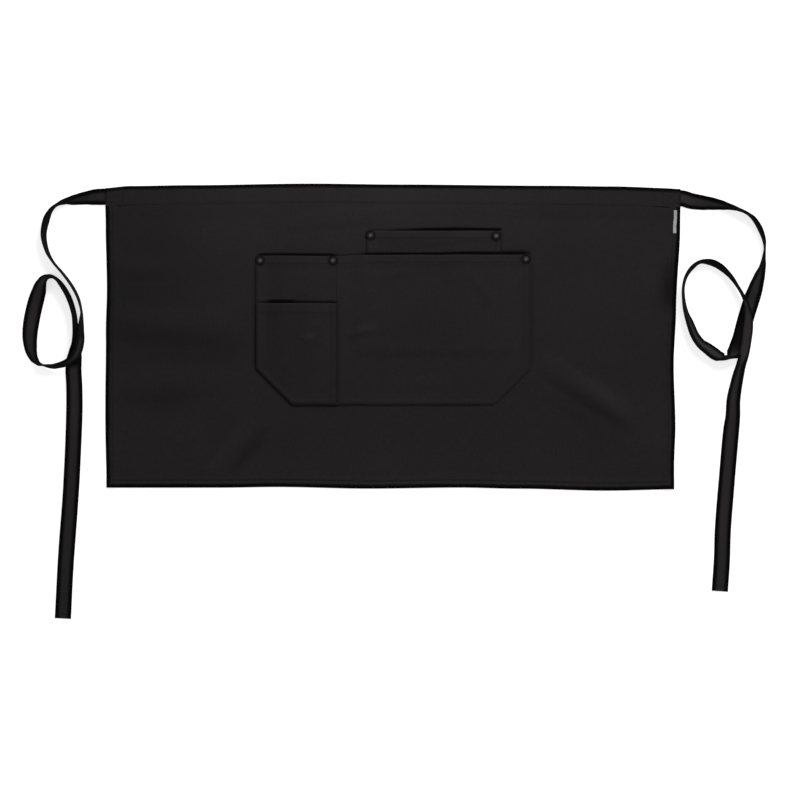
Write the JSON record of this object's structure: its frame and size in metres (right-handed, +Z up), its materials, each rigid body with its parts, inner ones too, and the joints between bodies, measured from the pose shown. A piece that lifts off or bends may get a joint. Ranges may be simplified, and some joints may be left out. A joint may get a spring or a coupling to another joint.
{
  "type": "bar apron",
  "caption": "Black half-length bar apron lying flat, with a folded waistband, layered riveted pockets, a bare side label and loose waist ties.",
  "frame": {"origin": "on the back of the cloth panel, in the middle of its width and height, on the surface it lies on", "axes": "+X along the waistband to the right as seen from the front, +Y towards the waistband, +Z up out of the front of the cloth"},
  "size_m": [0.9805, 0.5742, 0.0267],
  "materials": {
    "cloth": "matt black twill",
    "strap": "matt black folded twill strap",
    "rivet": "dark gunmetal, worn bright on the rim",
    "label": "pale woven tape"
  },
  "bodies": {
    "root": {"apron_panel": "cloth", "waistband": "cloth", "pocket_back": "cloth", "pocket_main": "cloth", "pocket_small": "cloth", "rivet_1": "rivet", "rivet_2": "rivet", "rivet_3": "rivet", "rivet_4": "rivet", "rivet_5": "rivet", "side_label": "label", "tie_left": "strap", "tie_right": "strap"}
  },
  "joints": []
}
